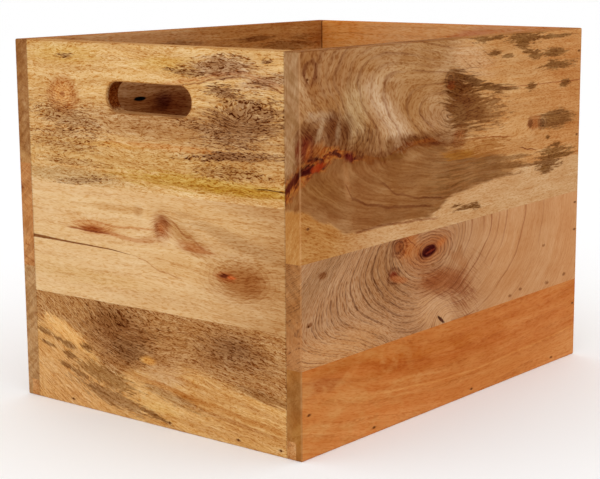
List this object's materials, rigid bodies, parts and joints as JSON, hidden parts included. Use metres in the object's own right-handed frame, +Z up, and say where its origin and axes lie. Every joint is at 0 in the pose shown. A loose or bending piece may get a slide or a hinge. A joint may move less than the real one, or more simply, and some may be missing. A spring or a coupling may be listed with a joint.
{
  "type": "wooden crate",
  "caption": "Open-topped box crate of glued-up hardwood boards, with a rounded hand-hold slot through each end.",
  "frame": {"origin": "centre of the underside, at the height that the crate rests on", "axes": "+X along the crate's length, towards the right end; +Y across its width, towards the back side; +Z up, out of the open top"},
  "size_m": [0.4, 0.3, 0.3],
  "materials": {
    "wood": "satin oiled",
    "brad_steel": "dull"
  },
  "bodies": {
    "root": {"front_side_top_board": "wood", "front_side_middle_board": "wood", "front_side_bottom_board": "wood", "back_side_top_board": "wood", "back_side_middle_board": "wood", "back_side_bottom_board": "wood", "left_end_top_board": "wood", "left_end_middle_board": "wood", "left_end_bottom_board": "wood", "right_end_top_board": "wood", "right_end_middle_board": "wood", "right_end_bottom_board": "wood", "floor_front_board": "wood", "floor_middle_board": "wood", "floor_back_board": "wood", "front_left_rabbet_plug": "wood", "front_right_rabbet_plug": "wood", "back_left_rabbet_plug": "wood", "back_right_rabbet_plug": "wood", "front_left_corner_brads": "brad_steel", "front_right_corner_brads": "brad_steel", "back_left_corner_brads": "brad_steel", "back_right_corner_brads": "brad_steel", "front_floor_brads": "brad_steel", "back_floor_brads": "brad_steel", "left_floor_brads": "brad_steel", "right_floor_brads": "brad_steel"}
  },
  "joints": []
}
